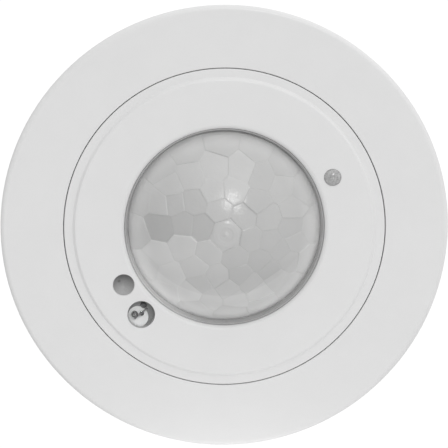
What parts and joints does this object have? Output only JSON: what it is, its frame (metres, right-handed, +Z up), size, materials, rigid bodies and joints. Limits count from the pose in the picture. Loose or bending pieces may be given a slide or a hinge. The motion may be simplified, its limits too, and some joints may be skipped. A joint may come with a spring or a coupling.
{
  "type": "motion sensor",
  "caption": "Round flush ceiling presence detector with a faceted dome lens, clip-on trim ring, status light, infrared receiver and folding spring clips.",
  "frame": {"origin": "on the detector's axis, in the plane of the panel face that the flange and the trim ring rest against", "axes": "-Y out of the front, towards what it watches; +Y into the panel, along the axis; +Z up and +X right in the front view"},
  "size_m": [0.11, 0.0567, 0.11],
  "materials": {
    "trim_plastic": "white fine-textured moulding",
    "cover_plastic": "white fine-textured moulding",
    "housing_plastic": "white moulding",
    "lens_plastic": "milky translucent polyethylene with moulded facets",
    "bezel_plastic": "pale grey moulding",
    "pipe_plastic": "frosted light pipe",
    "clear_epoxy": "clear cast epoxy",
    "grey_plastic": "grey moulding",
    "black_plastic": "black moulding",
    "orange_plastic": "orange moulding",
    "blue_plastic": "blue coated case",
    "yellow_tape": "yellow winding tape",
    "board_laminate": "green solder-masked glass laminate",
    "ferrite": "dark sintered ferrite",
    "ceramic": "pale ceramic",
    "steel": "zinc-plated steel",
    "spring_steel": "spring steel",
    "nickel": "nickel-plated metal",
    "brass": "brass",
    "silicon_filter": "dark infrared filter",
    "foam": "closed-cell foam"
  },
  "bodies": {
    "detector": {"front_cover": "cover_plastic", "lens_dome": "lens_plastic", "lens_bezel": "bezel_plastic", "mounting_flange": "housing_plastic", "lens_retainer": "grey_plastic", "lens_screws": "steel", "led_light_pipe": "pipe_plastic", "status_led": "clear_epoxy", "light_sensor": "grey_plastic", "receiver_dome": "clear_epoxy", "receiver_frame": "nickel", "receiver_chip": "silicon_filter", "housing": "housing_plastic", "flange_gasket": "foam", "rear_cover": "housing_plastic", "rear_cover_screws": "steel", "sensor_board": "board_laminate", "power_board": "board_laminate", "board_header": "black_plastic", "header_pins": "brass", "board_spacers": "brass", "front_board_screws": "steel", "rear_board_screws": "steel", "pyro_pins": "nickel", "pyro_base": "nickel", "pyro_can": "nickel", "pyro_window": "silicon_filter", "pyro_elements": "ceramic", "sensor_shade": "black_plastic", "controller_chip": "black_plastic", "relay": "blue_plastic", "transformer_core": "ferrite", "transformer_coil": "yellow_tape", "smoothing_capacitor": "black_plastic", "surge_disc": "blue_plastic", "fuse": "ceramic", "terminal_block": "grey_plastic", "terminal_contacts": "brass", "dial_bases": "blue_plastic", "clip_pins": "steel"},
    "trim": {"trim_ring": "trim_plastic"},
    "time_knob": {"time_dial": "orange_plastic"},
    "light_knob": {"light_dial": "orange_plastic"},
    "left_clip": {"clip_arm_left": "spring_steel", "clip_pad_left": "grey_plastic", "clip_spring_left": "spring_steel"},
    "right_clip": {"clip_arm_right": "spring_steel", "clip_pad_right": "grey_plastic", "clip_spring_right": "spring_steel"},
    "button_1": {"terminal_button_1": "orange_plastic"},
    "button_2": {"terminal_button_2": "orange_plastic"},
    "button_3": {"terminal_button_3": "orange_plastic"},
    "button_4": {"terminal_button_4": "orange_plastic"}
  },
  "joints": [
    {"name": "trim_pull", "type": "slide", "parent": "detector", "child": "trim", "axis": [0, -1, 0], "range_m": [0, 0.015]},
    {"name": "time_turn", "type": "hinge", "parent": "detector", "child": "time_knob", "pos_m": [-0.009, 0.036, 0.012], "axis": [0, 1, 0], "range_deg": [-135, 135]},
    {"name": "light_turn", "type": "hinge", "parent": "detector", "child": "light_knob", "pos_m": [0.009, 0.036, 0.012], "axis": [0, 1, 0], "range_deg": [-135, 135]},
    {"name": "left_clip_fold", "type": "hinge", "parent": "detector", "child": "left_clip", "pos_m": [-0.0293, 0.01, 0], "axis": [0, 0, -1], "range_deg": [0, 104], "stiffness_Nm_per_rad": 0.05, "springref_deg": -34.38},
    {"name": "right_clip_fold", "type": "hinge", "parent": "detector", "child": "right_clip", "pos_m": [0.0293, 0.01, 0], "axis": [0, 0, 1], "range_deg": [0, 104], "stiffness_Nm_per_rad": 0.05, "springref_deg": -34.38},
    {"name": "button_1_press", "type": "slide", "parent": "detector", "child": "button_1", "axis": [0, -1, 0], "range_m": [0, 0.0015], "stiffness_N_per_m": 300, "springref_m": -0.002},
    {"name": "button_2_press", "type": "slide", "parent": "detector", "child": "button_2", "axis": [0, -1, 0], "range_m": [0, 0.0015], "stiffness_N_per_m": 300, "springref_m": -0.002},
    {"name": "button_3_press", "type": "slide", "parent": "detector", "child": "button_3", "axis": [0, -1, 0], "range_m": [0, 0.0015], "stiffness_N_per_m": 300, "springref_m": -0.002},
    {"name": "button_4_press", "type": "slide", "parent": "detector", "child": "button_4", "axis": [0, -1, 0], "range_m": [0, 0.0015], "stiffness_N_per_m": 300, "springref_m": -0.002}
  ]
}
